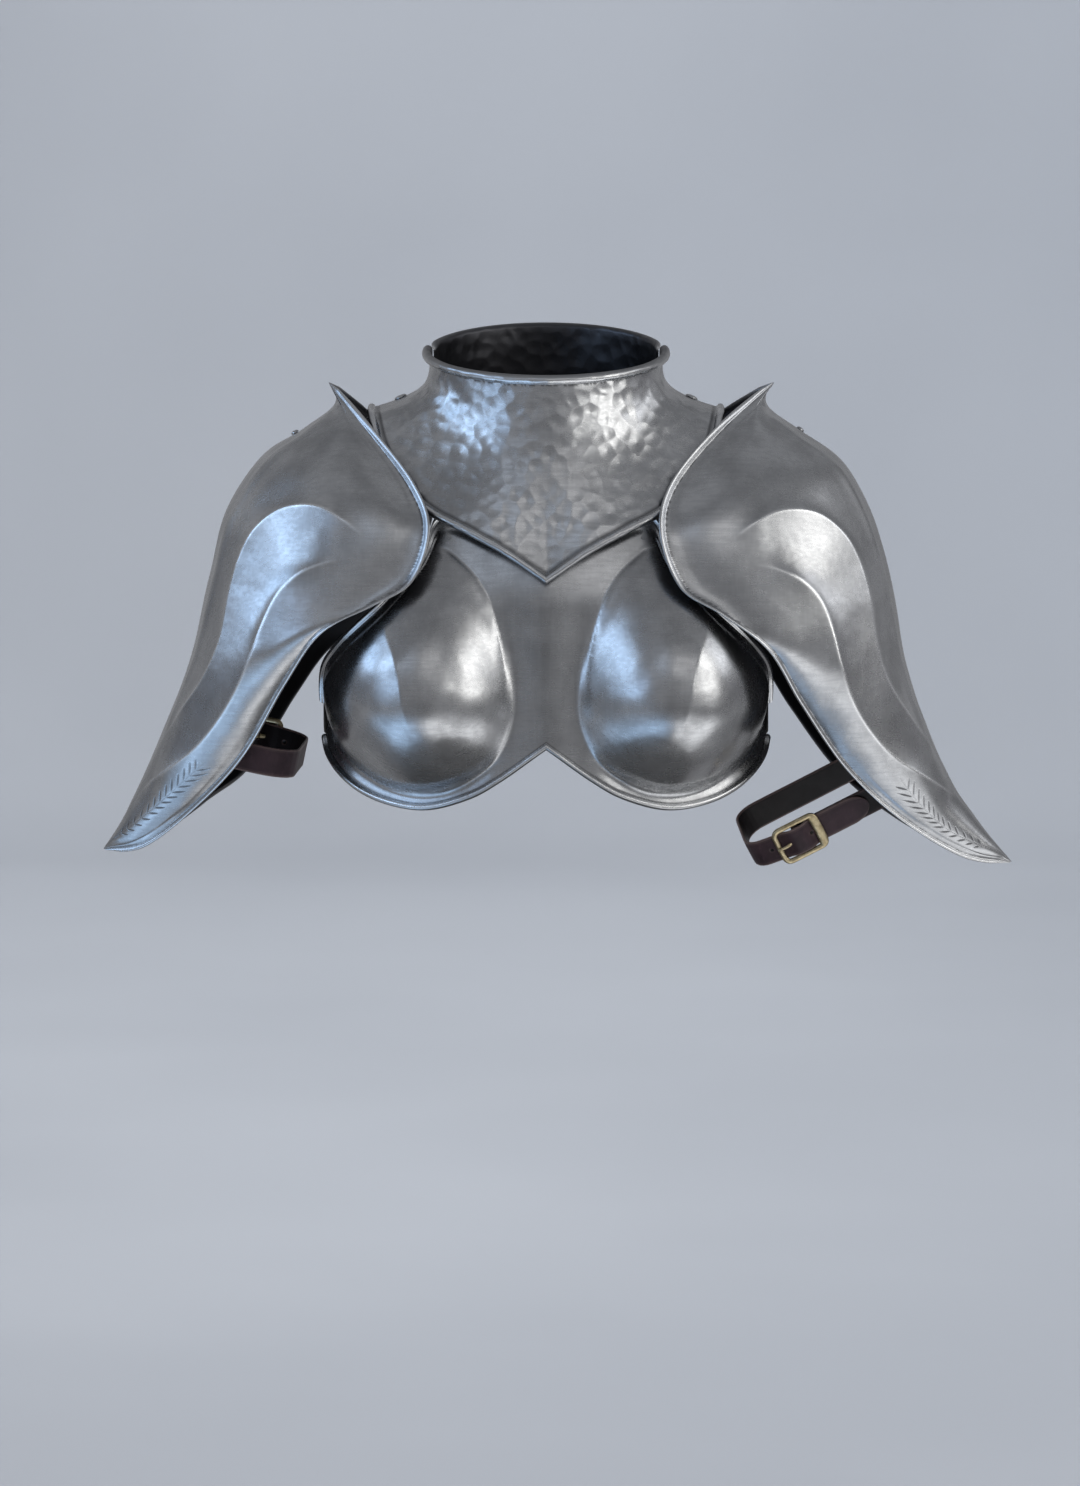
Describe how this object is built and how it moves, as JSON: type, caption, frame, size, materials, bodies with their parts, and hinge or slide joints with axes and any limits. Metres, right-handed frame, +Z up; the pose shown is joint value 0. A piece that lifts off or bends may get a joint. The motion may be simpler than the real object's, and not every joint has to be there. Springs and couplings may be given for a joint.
{
  "type": "breastplate with pauldrons",
  "caption": "Steel gorget carrying a short cupped breastplate and a pair of winged shoulder plates, with leather straps and buckles.",
  "frame": {"origin": "centre of the neck rim of the gorget", "axes": "+Z up, the chest faces -Y, +X is the wearer's left"},
  "size_m": [0.6071, 0.2241, 0.3584],
  "materials": {
    "plate_steel": "polished, hand hammered",
    "rivet_steel": "polished",
    "dark_steel": "satin",
    "brass": "aged satin",
    "dark_leather": "smooth",
    "arm_leather": "smooth"
  },
  "bodies": {
    "gorget_front": {"gorget_front_plate": "plate_steel", "gorget_pivot": "rivet_steel", "breastplate": "plate_steel", "chest_hanger_left": "dark_leather", "chest_hanger_right": "dark_leather", "chest_hanger_upper_rivet_left": "rivet_steel", "chest_hanger_upper_rivet_right": "rivet_steel", "chest_hanger_lower_rivet_left": "rivet_steel", "chest_hanger_lower_rivet_right": "rivet_steel", "back_strap_left": "dark_leather", "back_strap_right": "dark_leather", "back_buckle_frame": "brass", "back_strap_keeper": "dark_leather", "back_strap_rivet_left": "rivet_steel", "back_strap_rivet_right": "rivet_steel", "hanger_chape_left": "dark_steel", "hanger_chape_right": "dark_steel", "hanger_chape_rivet_left": "rivet_steel", "hanger_chape_rivet_right": "rivet_steel"},
    "gorget_back": {"gorget_back_plate": "plate_steel", "gorget_closing_stud": "rivet_steel"},
    "back_prong": {"back_buckle_prong": "brass"},
    "pauldron_left": {"pauldron_left": "plate_steel", "hanger_frame_left": "dark_steel", "hanger_strap_left": "dark_leather", "hanger_rivet_left": "rivet_steel", "arm_strap_base_left": "arm_leather", "arm_strap_tongue_left": "arm_leather", "arm_buckle_frame_left": "brass", "arm_front_rivet_left": "rivet_steel", "arm_back_rivet_left": "rivet_steel"},
    "pauldron_right": {"pauldron_right": "plate_steel", "hanger_frame_right": "dark_steel", "hanger_strap_right": "dark_leather", "hanger_rivet_right": "rivet_steel", "arm_strap_base_right": "arm_leather", "arm_strap_tongue_right": "arm_leather", "arm_buckle_frame_right": "brass", "arm_front_rivet_right": "rivet_steel", "arm_back_rivet_right": "rivet_steel"},
    "hanger_prong_left": {"hanger_prong_left": "dark_steel"},
    "hanger_prong_right": {"hanger_prong_right": "dark_steel"},
    "arm_prong_left": {"arm_buckle_prong_left": "brass"},
    "arm_prong_right": {"arm_buckle_prong_right": "brass"}
  },
  "joints": [
    {"name": "gorget_opening", "type": "hinge", "parent": "gorget_front", "child": "gorget_back", "pos_m": [0.0963, 0.01262, -0.03078], "axis": [-0.3931, -0.0212, -0.9193], "range_deg": [0, 12]},
    {"name": "pauldron_lift_left", "type": "hinge", "parent": "gorget_front", "child": "pauldron_left", "pos_m": [0.1215, 0.002, -0.047], "axis": [0, -1, 0], "range_deg": [0, 30]},
    {"name": "pauldron_lift_right", "type": "hinge", "parent": "gorget_front", "child": "pauldron_right", "pos_m": [-0.1215, 0.002, -0.047], "axis": [0, 1, 0], "range_deg": [0, 30]},
    {"name": "back_prong_turn", "type": "hinge", "parent": "gorget_front", "child": "back_prong", "pos_m": [0, 0.095, -0.24], "axis": [0, 0, 1], "range_deg": [0, 8]},
    {"name": "arm_prong_turn_left", "type": "hinge", "parent": "pauldron_left", "child": "arm_prong_left", "pos_m": [0.16807, -0.03364, -0.31875], "axis": [-0.4439, -0.262, 0.8569], "range_deg": [0, 8]},
    {"name": "arm_prong_turn_right", "type": "hinge", "parent": "pauldron_right", "child": "arm_prong_right", "pos_m": [-0.19499, 0.04478, -0.26113], "axis": [0.208, -0.0195, 0.9779], "range_deg": [0, 8]},
    {"name": "hanger_prong_turn_left", "type": "hinge", "parent": "pauldron_left", "child": "hanger_prong_left", "pos_m": [0.1215, 0.002, -0.047], "axis": [0, 1, 0], "range_deg": [0, 6]},
    {"name": "hanger_prong_turn_right", "type": "hinge", "parent": "pauldron_right", "child": "hanger_prong_right", "pos_m": [-0.1215, 0.002, -0.047], "axis": [0, -1, 0], "range_deg": [0, 6]}
  ]
}
